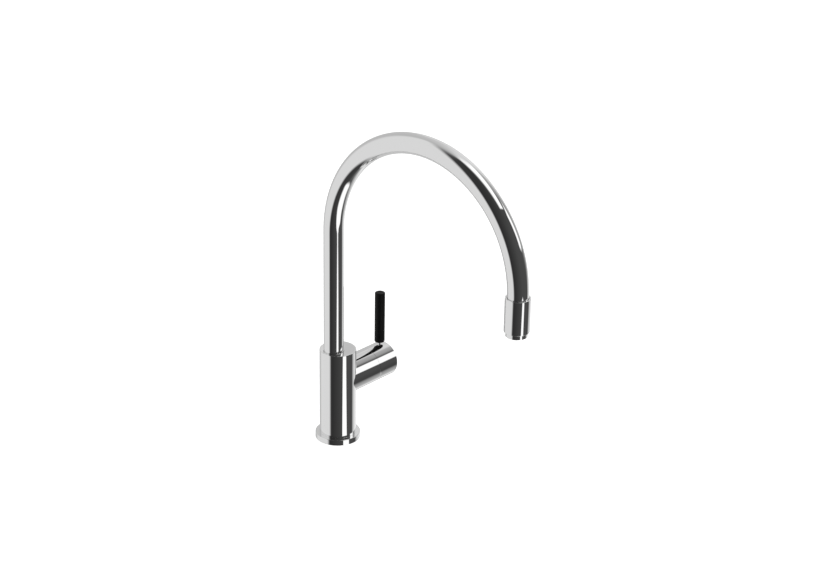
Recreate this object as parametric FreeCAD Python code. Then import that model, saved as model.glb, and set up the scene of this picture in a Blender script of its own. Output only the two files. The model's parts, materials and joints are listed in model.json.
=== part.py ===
import FreeCAD, Part
import math
import os

# Pull-down kitchen mixer tap, in millimetres.
# Origin: centre of the base flange's underside, in the plane of the worktop.
# +Z is up, the spout reaches out along -Y and the lever barrel points along +X.

V = FreeCAD.Vector

# ---------------------------------------------------------------- driving dimensions
BODY_R = 20.0               # upright body
BODY_TOP = 106.0
BODY_BORE_R = 17.6
BODY_HEAD_Z = 88.0          # underside of the solid top of the body
FLANGE_R = 24.7             # base flange
FLANGE_H = 6.4

SPOUT_X = -6.3              # the spout stands off the body's axis, away from the lever
TUBE_R = 11.0
TUBE_WALL = 1.5
ARC_Z = 246.6               # height where the upright ends and the half circle begins
ARC_R = 124.8               # radius of the tube's centre line
TUBE_END_Z = 243.0          # the tube's mouth, inside the head's collar
OUTLET_Y = -2 * ARC_R

HEAD_R = 13.1               # pull-down spray head
HEAD_TOP = ARC_Z
HEAD_BOTTOM = 210.4
OUTLET_R = 11.2             # ring that shows under the head
OUTLET_BOTTOM = 205.3

BARREL_Z = 69.0             # lever barrel, along +X
BARREL_R = 19.5
SEAM_X = 47.5               # joint between the fixed barrel and the turning cap
BARREL_END = 75.1
SEAM_GAP = 0.12
TILT_DEG = 15.0             # travel of the lever from closed to open
PIVOT_X = 38.0              # the lever's cross pin
DOME_R = 19.3               # ball-shaped cover, centred on the cross pin

STEM_X = 66.6               # lever stem and grip
STEM_R = 1.7
GRIP_R = 5.7
GRIP_BOTTOM = 92.0
GRIP_TOP = 151.2

HOSE_R = 6.0                # spray hose
HOSE_BORE_R = 4.0
SHANK_R = 16.5              # threaded shank through the worktop
SHANK_BORE_R = 14.0
SHANK_BOTTOM = -64.0
SHANK_TOP = 17.9
DECK = 31.0                 # thickness of the worktop that the clamp is set for

RUNNING = 0.05              # radial clearance of a running fit
EASY = 0.2                  # clearance of a loose fit
EDGE = 0.4                  # rounding of the chromed edges
FINE_EDGE = 0.2             # rounding of edges that meet another piece
OVER = 1.0                  # how far a cutter runs past the metal

CARTRIDGE_R = 12.5          # 25 mm ceramic cartridge
PORT_R = 2.4
PORT_HOT = (-5.6, -3.3)     # ports in the cartridge's foot: y, and z from the barrel's axis
PORT_COLD = (5.6, -3.3)
PORT_MIXED = (0.0, 6.5)
PORTS = (PORT_HOT, PORT_COLD, PORT_MIXED)
INLET_HOT = (6.2, -7.7)     # threaded sockets under the manifold: x, y
INLET_COLD = (6.2, 7.7)
INLET_MIXED = (9.2, 0.0)
INLETS = (INLET_HOT, INLET_COLD, INLET_MIXED)
INLET_R = 3.5
INLET_OUT_R = 4.05
INLET_BOTTOM = 10.0
INLET_TOP = 30.0

os.makedirs("parts", exist_ok=True)


def save(name, shape):
    """Write one named piece."""
    shape.exportStep("parts/" + name + ".step")


# ---------------------------------------------------------------- shape helpers
def rod_z(radius, low, high, x=0.0, y=0.0):
    return Part.makeCylinder(radius, high - low, V(x, y, low), V(0, 0, 1))


def ring_z(outer, inner, low, high, x=0.0, y=0.0):
    return rod_z(outer, low, high, x, y).cut(rod_z(inner, low, high, x, y))


def rod_x(radius, start, end, y=0.0, z=BARREL_Z):
    return Part.makeCylinder(radius, end - start, V(start, y, z), V(1, 0, 0))


def ring_x(outer, inner, start, end, y=0.0, z=BARREL_Z):
    return rod_x(outer, start, end, y, z).cut(rod_x(inner, start, end, y, z))


def rod_y(radius, start, end, x, z):
    return Part.makeCylinder(radius, end - start, V(x, start, z), V(0, 1, 0))


def block(low, high):
    size = V(*high).sub(V(*low))
    return Part.makeBox(size.x, size.y, size.z, V(*low))


def outline(corners):
    """Closed face in the XZ plane; a corner is (radius, height) or (radius, height, rounding)."""
    points = [V(c[0], 0, c[1]) for c in corners]
    edges = []
    entries = []
    for i, corner in enumerate(corners):
        here = points[i]
        rounding = corner[2] if len(corner) > 2 else 0.0
        back = points[i - 1].sub(here).normalize()
        ahead = points[(i + 1) % len(points)].sub(here).normalize()
        if rounding == 0.0:
            entries.append((here, here, here))
            continue
        half = back.getAngle(ahead) / 2
        reach = rounding / math.tan(half)
        middle = (back + ahead).normalize() * (rounding / math.sin(half) - rounding)
        entries.append((here + back * reach, here + middle, here + ahead * reach))
    for i, (start, middle, end) in enumerate(entries):
        if start != end:
            edges.append(Part.Arc(start, middle, end).toShape())
        following = entries[(i + 1) % len(entries)][0]
        edges.append(Part.LineSegment(end, following).toShape())
    return Part.Face(Part.Wire(edges))


def turned_z(corners, x=0.0, y=0.0):
    """Solid of revolution about an upright axis; corners are (radius, z)."""
    solid = outline(corners).revolve(V(0, 0, 0), V(0, 0, 1), 360)
    solid.translate(V(x, y, 0))
    return solid


def turned_x(corners):
    """Solid of revolution about the barrel's axis; corners are (radius, x)."""
    solid = outline(corners).revolve(V(0, 0, 0), V(0, 0, 1), 360)
    solid.rotate(V(0, 0, 0), V(0, 1, 0), 90)
    solid.translate(V(0, 0, BARREL_Z))
    return solid


def along_spout(radius, low, end):
    """Round bar up the spout's upright from low, over the half circle and down to end."""
    foot = V(SPOUT_X, 0, low)
    spring = V(SPOUT_X, 0, ARC_Z)
    crown = V(SPOUT_X, -ARC_R, ARC_Z + ARC_R)
    fall = V(SPOUT_X, OUTLET_Y, ARC_Z)
    edges = [Part.LineSegment(foot, spring).toShape(), Part.Arc(spring, crown, fall).toShape()]
    if end < ARC_Z:
        edges.append(Part.LineSegment(fall, V(SPOUT_X, OUTLET_Y, end)).toShape())
    section = Part.Face(Part.Wire(Part.makeCircle(radius, foot, V(0, 0, 1))))
    return Part.Wire(edges).makePipe(section)


def hex_socket(width, start, direction, depth):
    """Six-sided key socket, to be cut from a screw's end."""
    corner_r = width / math.sqrt(3)
    side = V(0, 1, 0) if abs(direction.y) < 0.5 else V(1, 0, 0)
    other = direction.cross(side)
    corners = []
    for i in range(7):
        turn = math.radians(60 * i)
        corners.append(start + side * corner_r * math.cos(turn) + other * corner_r * math.sin(turn))
    return Part.Face(Part.makePolygon(corners)).extrude(direction * depth)


# ---------------------------------------------------------------- base and worktop clamp
GASKET_IN_R = 19.0
GASKET_OUT_R = 23.0
GASKET_H = 1.4
RELIEF_Z = -51.8
RELIEF_H = 1.0
RELIEF_DEPTH = 0.5
SHANK_CHAMFER = 0.8


def base_flange():
    plate = turned_z([
        (SHANK_R + EASY, 0),
        (FLANGE_R, 0, FINE_EDGE),
        (FLANGE_R, FLANGE_H, EDGE),
        (SHANK_R + EASY, FLANGE_H),
    ])
    return plate.cut(ring_z(GASKET_OUT_R, GASKET_IN_R, 0, GASKET_H))


def base_gasket():
    return ring_z(GASKET_OUT_R, GASKET_IN_R, 0, GASKET_H)


def threaded_shank():
    """Hollow shank; a narrow relief parts its free end from the length the nut uses."""
    return turned_z([
        (SHANK_BORE_R, SHANK_BOTTOM),
        (SHANK_R - SHANK_CHAMFER, SHANK_BOTTOM),
        (SHANK_R, SHANK_BOTTOM + SHANK_CHAMFER),
        (SHANK_R, RELIEF_Z - RELIEF_H),
        (SHANK_R - RELIEF_DEPTH, RELIEF_Z - RELIEF_H),
        (SHANK_R - RELIEF_DEPTH, RELIEF_Z),
        (SHANK_R, RELIEF_Z),
        (SHANK_R, SHANK_TOP),
        (SHANK_BORE_R, SHANK_TOP),
    ])


WASHER_R = 28.0
WASHER_HOLE_R = 17.0
RUBBER_T = 3.0
STEEL_T = 2.0
NUT_GAP = 1.5
NUT_T = 9.0
NUT_ACROSS_FLATS = 50.0
NUT_CHAMFER = 2.0
NUT_CHAMFER_H = 1.2
JACK_SCREW_R = 2.5
JACK_SCREW_AT = 20.9
JACK_SCREW_HEAD = 4.0
JACK_SCREW_HEAD_R = 3.5
JACK_SCREW_SHOWS = 1.0      # length between the nut and the screw's head
JACK_KEY = 3.0
JACK_KEY_DEPTH = 2.5


def rubber_washer():
    return ring_z(WASHER_R, WASHER_HOLE_R, -DECK - RUBBER_T, -DECK)


def steel_washer():
    top = -DECK - RUBBER_T
    return ring_z(WASHER_R, WASHER_HOLE_R, top - STEEL_T, top)


def clamp_nut():
    top = -DECK - RUBBER_T - STEEL_T - NUT_GAP
    corner_r = NUT_ACROSS_FLATS / math.sqrt(3)
    prism = hex_socket(NUT_ACROSS_FLATS, V(0, 0, top - NUT_T), V(0, 0, 1), NUT_T)
    nut = prism.common(turned_z([
        (SHANK_R, top - NUT_T),
        (corner_r - NUT_CHAMFER, top - NUT_T),
        (corner_r, top - NUT_T + NUT_CHAMFER_H),
        (corner_r, top - NUT_CHAMFER_H),
        (corner_r - NUT_CHAMFER, top),
        (SHANK_R, top),
    ]))
    for side in (-1, 1):
        nut = nut.cut(rod_z(JACK_SCREW_R, top - NUT_T, top, side * JACK_SCREW_AT))
    return nut


def jack_screws():
    tip = -DECK - RUBBER_T - STEEL_T
    head_top = tip - NUT_GAP - NUT_T - JACK_SCREW_SHOWS
    screws = []
    for side in (-1, 1):
        x = side * JACK_SCREW_AT
        screw = rod_z(JACK_SCREW_R, head_top, tip, x)
        head_bottom = head_top - JACK_SCREW_HEAD
        screw = screw.fuse(rod_z(JACK_SCREW_HEAD_R, head_bottom, head_top, x))
        socket = hex_socket(JACK_KEY, V(x, 0, head_bottom), V(0, 0, 1), JACK_KEY_DEPTH)
        screws.append(screw.cut(socket))
    return Part.makeCompound(screws)


GUIDE_IN_R = HOSE_R + 0.35
GUIDE_OUT_R = 7.4
GUIDE_TOP = 84.0
GUIDE_LEAD = 0.6            # flare that leads the hose into the guide
GUIDE_LEAD_H = 2.0


def hose_guide():
    """Plastic liner that leads the spray hose down through the body and the shank."""
    return turned_z([
        (GUIDE_IN_R, SHANK_BOTTOM),
        (GUIDE_OUT_R, SHANK_BOTTOM),
        (GUIDE_OUT_R, GUIDE_TOP),
        (GUIDE_IN_R + GUIDE_LEAD, GUIDE_TOP),
        (GUIDE_IN_R, GUIDE_TOP - GUIDE_LEAD_H),
    ], SPOUT_X)


# ---------------------------------------------------------------- body
BUSH_R = 12.0
BUSH_TOP = 104.4
SPIGOT_R = 15.5
STOP_SCREW_Z = 95.5
STOP_SCREW_R = 1.5
STOP_SCREW_END = 18.0       # socket end of the stop screw, just under the body's surface
STOP_DEPTH = 1.2
STOP_KEY = 1.5
STOP_KEY_DEPTH = 2.0
SLOT_SLACK_DEG = 1.0
SWIVEL_DEG = 70.0


def body_shell():
    body = turned_z([
        (0, FLANGE_H),
        (BODY_R, FLANGE_H, FINE_EDGE),
        (BODY_R, BODY_TOP, EDGE),
        (0, BODY_TOP),
    ])
    body = body.cut(rod_z(SHANK_R, FLANGE_H, SHANK_TOP))
    body = body.cut(rod_z(BODY_BORE_R, SHANK_TOP, BODY_HEAD_Z))
    body = body.cut(rod_z(BUSH_R, BODY_HEAD_Z, BUSH_TOP, SPOUT_X))
    body = body.cut(rod_z(TUBE_R + 2 * RUNNING, BUSH_TOP, BODY_TOP, SPOUT_X))
    body = body.cut(rod_x(SPIGOT_R, 0, BODY_R + OVER))
    return body.cut(rod_y(STOP_SCREW_R, 0, BODY_R, SPOUT_X, STOP_SCREW_Z))


def swivel_bush():
    """Plain bearing that the foot of the spout turns in."""
    bush = ring_z(BUSH_R, TUBE_R + RUNNING, BODY_HEAD_Z, BUSH_TOP, SPOUT_X)
    return bush.cut(rod_y(STOP_SCREW_R + EASY, 0, BODY_R, SPOUT_X, STOP_SCREW_Z))


def swivel_stop_screw():
    """Grub screw at the back, whose tip keeps the spout down and ends its turn."""
    tip = TUBE_R - STOP_DEPTH + EASY
    screw = rod_y(STOP_SCREW_R, tip, STOP_SCREW_END, SPOUT_X, STOP_SCREW_Z)
    end = V(SPOUT_X, STOP_SCREW_END, STOP_SCREW_Z)
    return screw.cut(hex_socket(STOP_KEY, end, V(0, -1, 0), STOP_KEY_DEPTH))


# ---------------------------------------------------------------- spout
SLEEVE_R = TUBE_R - TUBE_WALL
SLEEVE_BORE_R = 7.2
SLEEVE_H = 14.0
SLEEVE_EDGE = 0.6
DOCK_BORE_R = 6.6
DOCK_LENGTH_DEG = 5.0


def spout_tube():
    tube = along_spout(TUBE_R, BODY_HEAD_Z, TUBE_END_Z)
    tube = tube.cut(along_spout(TUBE_R - TUBE_WALL, BODY_HEAD_Z, TUBE_END_Z))
    # The stop screw's slot: part of a ring, a little longer than the turn allowed.
    slack = math.degrees(STOP_SCREW_R / (TUBE_R - STOP_DEPTH)) + SLOT_SLACK_DEG
    sweep = 2 * (SWIVEL_DEG + slack)
    low = STOP_SCREW_Z - STOP_SCREW_R - EASY
    high = STOP_SCREW_Z + STOP_SCREW_R + EASY
    inner = TUBE_R - STOP_DEPTH
    section = Part.Face(Part.makePolygon([
        V(inner, 0, low),
        V(TUBE_R + OVER, 0, low),
        V(TUBE_R + OVER, 0, high),
        V(inner, 0, high),
        V(inner, 0, low),
    ]))
    slot = section.revolve(V(0, 0, 0), V(0, 0, 1), sweep)
    slot.rotate(V(0, 0, 0), V(0, 0, 1), 90 - sweep / 2)
    slot.translate(V(SPOUT_X, 0, 0))
    return tube.cut(slot)


def spout_sleeve():
    """Brass lining that stiffens the foot of the spout."""
    low = BODY_HEAD_Z
    return turned_z([
        (SLEEVE_BORE_R, low, SLEEVE_EDGE),
        (SLEEVE_R, low),
        (SLEEVE_R, low + SLEEVE_H),
        (SLEEVE_BORE_R, low + SLEEVE_H, SLEEVE_EDGE),
    ], SPOUT_X)


def dock_insert():
    """Plastic bush in the spout's mouth, curved with the tube, that the hose slides through."""
    end = math.radians(DOCK_LENGTH_DEG)
    fall = V(SPOUT_X, OUTLET_Y, ARC_Z)

    def on_arc(turn):
        return V(SPOUT_X, -ARC_R * (1 + math.cos(turn)), ARC_Z + ARC_R * math.sin(turn))

    path = Part.Wire([
        Part.LineSegment(V(SPOUT_X, OUTLET_Y, TUBE_END_Z), fall).toShape(),
        Part.Arc(fall, on_arc(end / 2), on_arc(end)).toShape(),
    ])
    start = V(SPOUT_X, OUTLET_Y, TUBE_END_Z)

    def bar(radius):
        return path.makePipe(Part.Face(Part.Wire(Part.makeCircle(radius, start, V(0, 0, 1)))))

    return bar(TUBE_R - TUBE_WALL).cut(bar(DOCK_BORE_R))


def spray_hose():
    """Braided hose, from the foot of the shank to the end of the half circle."""
    hose = along_spout(HOSE_R, SHANK_BOTTOM, ARC_Z)
    return hose.cut(along_spout(HOSE_BORE_R, SHANK_BOTTOM, ARC_Z))


# ---------------------------------------------------------------- hose end
FERRULE_TOP = 240.0
FERRULE_R = 6.9
FERRULE_BOTTOM = 228.0
FERRULE_FOOT_EDGE = 0.3
FERRULE_TOP_EDGE = 0.6
CONE_FLANGE_R = 8.2
CONE_FLANGE_BOTTOM = 224.6
CONE_FLANGE_TOP = 227.2
STEM_SEAL_R = 4.0
STEM_SEAL_BOTTOM = 219.2
WATERWAY_R = 2.6
CONNECTOR_CHAMFER = 0.5
BARB_TOP = 238.0
BARB_TIP_H = 1.0
ORING_Z = 221.4
ORING_R = 3.65
ORING_WIRE_R = 0.6
GROOVE_FLOOR_R = 3.1
GROOVE_LOW = ORING_Z - 0.8
GROOVE_HIGH = ORING_Z + 0.8


def at_outlet(corners):
    return turned_z(corners, SPOUT_X, OUTLET_Y)


def hose_tail():
    """Last straight stretch of hose, which pays out as the head is pulled down."""
    return ring_z(HOSE_R, HOSE_BORE_R, FERRULE_TOP, ARC_Z, SPOUT_X, OUTLET_Y)


def hose_ferrule():
    return at_outlet([
        (HOSE_BORE_R, FERRULE_BOTTOM),
        (FERRULE_R, FERRULE_BOTTOM, FERRULE_FOOT_EDGE),
        (FERRULE_R, FERRULE_TOP, FERRULE_TOP_EDGE),
        (HOSE_BORE_R, FERRULE_TOP),
    ])


def hose_connector():
    """Brass hose tail with the collar that lets the head turn on the hose."""
    return at_outlet([
        (WATERWAY_R, STEM_SEAL_BOTTOM),
        (STEM_SEAL_R - CONNECTOR_CHAMFER, STEM_SEAL_BOTTOM),
        (STEM_SEAL_R, STEM_SEAL_BOTTOM + CONNECTOR_CHAMFER),
        (STEM_SEAL_R, GROOVE_LOW),
        (GROOVE_FLOOR_R, GROOVE_LOW),
        (GROOVE_FLOOR_R, GROOVE_HIGH),
        (STEM_SEAL_R, GROOVE_HIGH),
        (STEM_SEAL_R, CONE_FLANGE_BOTTOM),
        (CONE_FLANGE_R, CONE_FLANGE_BOTTOM),
        (CONE_FLANGE_R, CONE_FLANGE_TOP),
        (HOSE_BORE_R, FERRULE_BOTTOM),
        (HOSE_BORE_R, BARB_TOP - BARB_TIP_H),
        (HOSE_BORE_R - CONNECTOR_CHAMFER, BARB_TOP),
        (WATERWAY_R, BARB_TOP),
    ])


def connector_oring():
    ring = Part.makeTorus(ORING_R, ORING_WIRE_R, V(SPOUT_X, OUTLET_Y, ORING_Z), V(0, 0, 1))
    return ring.cut(rod_z(GROOVE_FLOOR_R, GROOVE_LOW, GROOVE_HIGH, SPOUT_X, OUTLET_Y))


# ---------------------------------------------------------------- spray head
COLLAR_R = TUBE_R + 0.3
SHELL_BORE_R = 10.8
COLLAR_FLOOR = 242.6
LINER_TOP = 242.0
SEAL_BORE_R = 4.35
SWIVEL_NUT_R = 9.4
SWIVEL_NUT_BORE_R = 7.2
SWIVEL_NUT_BOTTOM = CONE_FLANGE_TOP + EASY
SWIVEL_NUT_TOP = 231.4
KEY_SLOT_R = 8.3
KEY_SLOT_W = 1.6
KEY_SLOT_DEPTH = 1.5
VALVE_R = 6.4
VALVE_TOP = 218.8
VALVE_BOTTOM = 213.4
VALVE_POCKET_R = 7.6
VALVE_SEAT_R = 2.6
VALVE_SEAT_T = 1.0
VALVE_BORE_R = 4.6
SPIDER_T = 0.8
SPIDER_W = 1.2
SPIDER_HUB_R = 1.9
POPPET_STEM_R = 1.0
POPPET_R = 3.6
POPPET_T = 1.0
POPPET_TOP = VALVE_TOP - VALVE_SEAT_T - 2 * RUNNING
SPRING_WIRE_R = 0.2
SPRING_R = 1.5
SPRING_TURNS = 2.5
AERATOR_TOP = 215.5
AERATOR_BORE_R = 7.8
AERATOR_SEAL_T = 0.6
AERATOR_SEAL_BORE_R = 8.4
INSERT_R = 8.8
INSERT_BOTTOM = 206.8
INSERT_TOP = 211.0
JET_R = 0.75                # drilled holes of the flow straightener
JET_PITCH = 2.2
JET_RINGS = 3


def head_shell():
    return at_outlet([
        (SHELL_BORE_R, HEAD_BOTTOM),
        (HEAD_R, HEAD_BOTTOM, EDGE),
        (HEAD_R, HEAD_TOP, EDGE),
        (COLLAR_R, HEAD_TOP, FINE_EDGE),
        (COLLAR_R, COLLAR_FLOOR),
        (SHELL_BORE_R, COLLAR_FLOOR),
    ])


def head_liner():
    """Plastic core that carries the water and holds the hose end."""
    flange_low = CONE_FLANGE_BOTTOM - EASY
    seal_top = AERATOR_TOP + AERATOR_SEAL_T
    return at_outlet([
        (SEAL_BORE_R, VALVE_TOP),
        (VALVE_R, VALVE_TOP),
        (VALVE_R, VALVE_BOTTOM),
        (VALVE_POCKET_R, VALVE_BOTTOM),
        (VALVE_POCKET_R, seal_top),
        (SHELL_BORE_R, seal_top),
        (SHELL_BORE_R, LINER_TOP),
        (SWIVEL_NUT_R, LINER_TOP),
        (SWIVEL_NUT_R, SWIVEL_NUT_BOTTOM),
        (CONE_FLANGE_R + EASY, SWIVEL_NUT_BOTTOM),
        (CONE_FLANGE_R + EASY, flange_low),
        (SEAL_BORE_R, flange_low),
    ])


def swivel_nut():
    """Threaded ring that traps the hose connector's collar."""
    nut = ring_z(
        SWIVEL_NUT_R, SWIVEL_NUT_BORE_R, SWIVEL_NUT_BOTTOM, SWIVEL_NUT_TOP, SPOUT_X, OUTLET_Y
    )
    half = KEY_SLOT_W / 2
    low = SWIVEL_NUT_TOP - KEY_SLOT_DEPTH
    for turn in (0, 90, 180, 270):
        notch = block((KEY_SLOT_R, -half, low), (SWIVEL_NUT_R + OVER, half, SWIVEL_NUT_TOP))
        notch.rotate(V(0, 0, 0), V(0, 0, 1), turn)
        notch.translate(V(SPOUT_X, OUTLET_Y, 0))
        nut = nut.cut(notch)
    return nut


def check_valve_body():
    """Non-return valve's case: a seat at the top and a spider that guides the poppet."""
    seat_low = VALVE_TOP - VALVE_SEAT_T
    case = at_outlet([
        (VALVE_SEAT_R, VALVE_TOP),
        (VALVE_SEAT_R, seat_low),
        (VALVE_BORE_R, seat_low),
        (VALVE_BORE_R, VALVE_BOTTOM),
        (VALVE_R, VALVE_BOTTOM),
        (VALVE_R, VALVE_TOP),
    ])
    reach = VALVE_BORE_R + EASY
    half = SPIDER_W / 2
    arm = block((-reach, -half, VALVE_BOTTOM), (reach, half, VALVE_BOTTOM + SPIDER_T))
    arm.translate(V(SPOUT_X, OUTLET_Y, 0))
    cross = arm.copy()
    cross.rotate(V(SPOUT_X, OUTLET_Y, 0), V(0, 0, 1), 90)
    hub = rod_z(SPIDER_HUB_R, VALVE_BOTTOM, VALVE_BOTTOM + SPIDER_T, SPOUT_X, OUTLET_Y)
    case = case.fuse(arm).fuse(cross).fuse(hub)
    guide = rod_z(POPPET_STEM_R + RUNNING, VALVE_BOTTOM - OVER, seat_low, SPOUT_X, OUTLET_Y)
    return case.cut(guide)


def check_valve_poppet():
    return at_outlet([
        (0, VALVE_BOTTOM + EASY),
        (POPPET_STEM_R, VALVE_BOTTOM + EASY),
        (POPPET_STEM_R, POPPET_TOP - POPPET_T),
        (POPPET_R, POPPET_TOP - POPPET_T),
        (POPPET_R, POPPET_TOP),
        (0, POPPET_TOP),
    ])


def check_valve_spring():
    low = VALVE_BOTTOM + SPIDER_T + SPRING_WIRE_R
    height = POPPET_TOP - POPPET_T - SPRING_WIRE_R - low
    path = Part.makeHelix(height / SPRING_TURNS, height, SPRING_R)
    section = Part.Wire(Part.makeCircle(SPRING_WIRE_R, V(SPRING_R, 0, 0), V(0, 1, 0)))
    spring = Part.Wire(path).makePipeShell([section], True, True)
    spring.translate(V(SPOUT_X, OUTLET_Y, low))
    return spring


def aerator_ring():
    return at_outlet([
        (AERATOR_BORE_R, OUTLET_BOTTOM, EDGE),
        (OUTLET_R, OUTLET_BOTTOM, EDGE),
        (OUTLET_R, HEAD_BOTTOM),
        (SHELL_BORE_R, HEAD_BOTTOM),
        (SHELL_BORE_R, AERATOR_TOP),
        (INSERT_R, AERATOR_TOP),
        (INSERT_R, INSERT_BOTTOM),
        (AERATOR_BORE_R, INSERT_BOTTOM),
    ])


def aerator_insert():
    """Flow straightener: a plastic disc drilled with rings of small holes."""
    disc = rod_z(INSERT_R, INSERT_BOTTOM, INSERT_TOP, SPOUT_X, OUTLET_Y)
    holes = [rod_z(JET_R, INSERT_BOTTOM, INSERT_TOP, SPOUT_X, OUTLET_Y)]
    for ring in range(1, JET_RINGS + 1):
        for i in range(6 * ring):
            turn = math.radians(60 * i / ring)
            x = SPOUT_X + JET_PITCH * ring * math.cos(turn)
            y = OUTLET_Y + JET_PITCH * ring * math.sin(turn)
            holes.append(rod_z(JET_R, INSERT_BOTTOM, INSERT_TOP, x, y))
    return disc.cut(Part.makeCompound(holes))


def aerator_seal():
    top = AERATOR_TOP + AERATOR_SEAL_T
    return ring_z(SHELL_BORE_R, AERATOR_SEAL_BORE_R, AERATOR_TOP, top, SPOUT_X, OUTLET_Y)


# ---------------------------------------------------------------- barrel and waterways
BARREL_ROOT_X = 5.0         # start of the barrel before it is cut to the body's round
SPIGOT_END = 25.0
MANIFOLD_R = 16.4
MANIFOLD_FLAT_X = 1.6
MANIFOLD_TOP = 85.0
MANIFOLD_BOTTOM = SHANK_TOP + 0.1
SEAT_START = 13.0
SEAT_END = 17.5
BARREL_BORE_R = 14.5
DOME_BORE_R = 16.9
DOME_SEAT_X = 44.2
SCREW_AT_Y = 11.0
SCREW_R = 1.5
SCREW_TIP_X = 7.0
SCREW_HEAD = 2.6
SCREW_HEAD_R = 2.7
SCREW_KEY = 2.5
SCREW_KEY_DEPTH = 1.4


def barrel_housing():
    """Fixed part of the lever barrel: it grows out of the body's side."""
    barrel = rod_x(BARREL_R, BARREL_ROOT_X, SEAM_X - SEAM_GAP)
    barrel = barrel.cut(rod_z(BODY_R, 0, BODY_TOP))
    barrel = barrel.fuse(rod_x(SPIGOT_R, SEAT_START, SPIGOT_END))
    barrel = barrel.cut(rod_x(BARREL_BORE_R, SEAT_START, DOME_SEAT_X))
    barrel = barrel.cut(rod_x(DOME_BORE_R, DOME_SEAT_X, SEAM_X))
    return barrel.removeSplitter()


def valve_manifold():
    """Brass core in the body: three upright waterways, each turned towards the cartridge."""
    core = rod_z(MANIFOLD_R, MANIFOLD_BOTTOM, MANIFOLD_TOP)
    core = core.cut(block(
        (-BODY_R, -BODY_R, MANIFOLD_BOTTOM - OVER),
        (MANIFOLD_FLAT_X, BODY_R, MANIFOLD_TOP + OVER),
    ))
    core = core.cut(rod_x(SPIGOT_R + 2 * RUNNING, SEAT_START, BODY_R + OVER))
    for (x, y), (port_y, port_z) in zip(INLETS, PORTS):
        level = BARREL_Z + port_z
        core = core.cut(rod_z(INLET_OUT_R, MANIFOLD_BOTTOM, INLET_TOP, x, y))
        core = core.cut(rod_z(PORT_R, INLET_TOP, level, x, y))
        core = core.cut(rod_x(PORT_R, x, SEAT_START, port_y, level))
    for side in (-1, 1):
        core = core.cut(rod_x(SCREW_R, SCREW_TIP_X, SEAT_START, side * SCREW_AT_Y))
    return core


def inlet_sockets():
    """Threaded sockets for the hot, cold and mixed-water tails."""
    return Part.makeCompound([
        ring_z(INLET_OUT_R, INLET_R, INLET_BOTTOM, INLET_TOP, x, y) for x, y in INLETS
    ])


def with_ports(piece, start, end, radius):
    for y, z in PORTS:
        piece = piece.cut(rod_x(radius, start, end, y, BARREL_Z + z))
    return piece


def cartridge_seat():
    seat = with_ports(rod_x(BARREL_BORE_R, SEAT_START, SEAT_END), SEAT_START, SEAT_END, PORT_R)
    for side in (-1, 1):
        y = side * SCREW_AT_Y
        seat = seat.cut(rod_x(SCREW_R, SEAT_START, SEAT_END, y))
        seat = seat.cut(rod_x(SCREW_HEAD_R + RUNNING, SEAT_END - SCREW_HEAD, SEAT_END, y))
    return seat


def seat_screws():
    """Two screws whose heads lie just under the seat's face."""
    screws = []
    face = SEAT_END - EASY
    for side in (-1, 1):
        y = side * SCREW_AT_Y
        screw = rod_x(SCREW_R, SCREW_TIP_X, SEAT_END - SCREW_HEAD, y)
        screw = screw.fuse(rod_x(SCREW_HEAD_R, SEAT_END - SCREW_HEAD, face, y))
        socket = hex_socket(SCREW_KEY, V(face, y, BARREL_Z), V(-1, 0, 0), SCREW_KEY_DEPTH)
        screws.append(screw.cut(socket))
    return Part.makeCompound(screws)


# ---------------------------------------------------------------- cartridge
FOOT_END = 20.0
FIXED_DISC_END = 22.6
DISC_GAP = 0.05
MOVING_DISC_END = 25.0
COUPLER_END = 28.6
CARRIER_START = 28.8
CARRIER_NECK = 36.0
CARRIER_END = 42.5
HOUSING_BORE_R = 11.5
HOUSING_WALL = 36.2
HOUSING_END = 38.2
NECK_R = 7.95
BALL_X = 27.2
BALL_R = 1.9
BALL_SOCKET_R = 2.02
CARTRIDGE_NUT_END = 43.0
CARTRIDGE_NUT_BORE_R = 9.0
NUT_SLOT_R = 11.0
NUT_SLOT_W = 3.0
NUT_SLOT_DEPTH = 2.0
PORT_SEAL_R = 3.9
PORT_SEAL_T = 1.5
FIXED_DISC_R = 11.2
MOVING_DISC_R = 7.2
MIXING_POCKET_R = 4.6       # hollow in the moving disc, where hot and cold meet
MIXING_POCKET_DEPTH = 1.3
COUPLER_R = 7.6
RAIL_Y = 5.7
RAIL_W = 1.6
RAIL_H = 1.6
RAIL_LENGTH = 9.2
RAIL_SLOT_LENGTH = 24.0
LEVER_SLOT_W = 6.2          # opening in the guide that the lever swings in
LEVER_SLOT_H = 12.4
PIN_R = 1.5
PIN_LENGTH = 15.4


def cartridge_base():
    foot = with_ports(rod_x(CARTRIDGE_R, SEAT_END, FOOT_END), SEAT_END, FOOT_END, PORT_R)
    return with_ports(foot, SEAT_END, SEAT_END + PORT_SEAL_T, PORT_SEAL_R)


def port_seals():
    end = SEAT_END + PORT_SEAL_T
    return Part.makeCompound([
        ring_x(PORT_SEAL_R, PORT_R, SEAT_END, end, y, BARREL_Z + z) for y, z in PORTS
    ])


def fixed_disc():
    disc = rod_x(FIXED_DISC_R, FOOT_END, FIXED_DISC_END)
    return with_ports(disc, FOOT_END, FIXED_DISC_END, PORT_R)


def cartridge_housing():
    case = rod_x(CARTRIDGE_R, FOOT_END, HOUSING_END)
    case = case.cut(rod_x(HOUSING_BORE_R, FOOT_END, HOUSING_WALL))
    return case.cut(rod_x(NECK_R + RUNNING, HOUSING_WALL, HOUSING_END))


def moving_disc():
    disc = rod_x(MOVING_DISC_R, FIXED_DISC_END + DISC_GAP, MOVING_DISC_END)
    pocket_end = FIXED_DISC_END + MIXING_POCKET_DEPTH
    return disc.cut(rod_x(MIXING_POCKET_R, FIXED_DISC_END, pocket_end))


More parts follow.
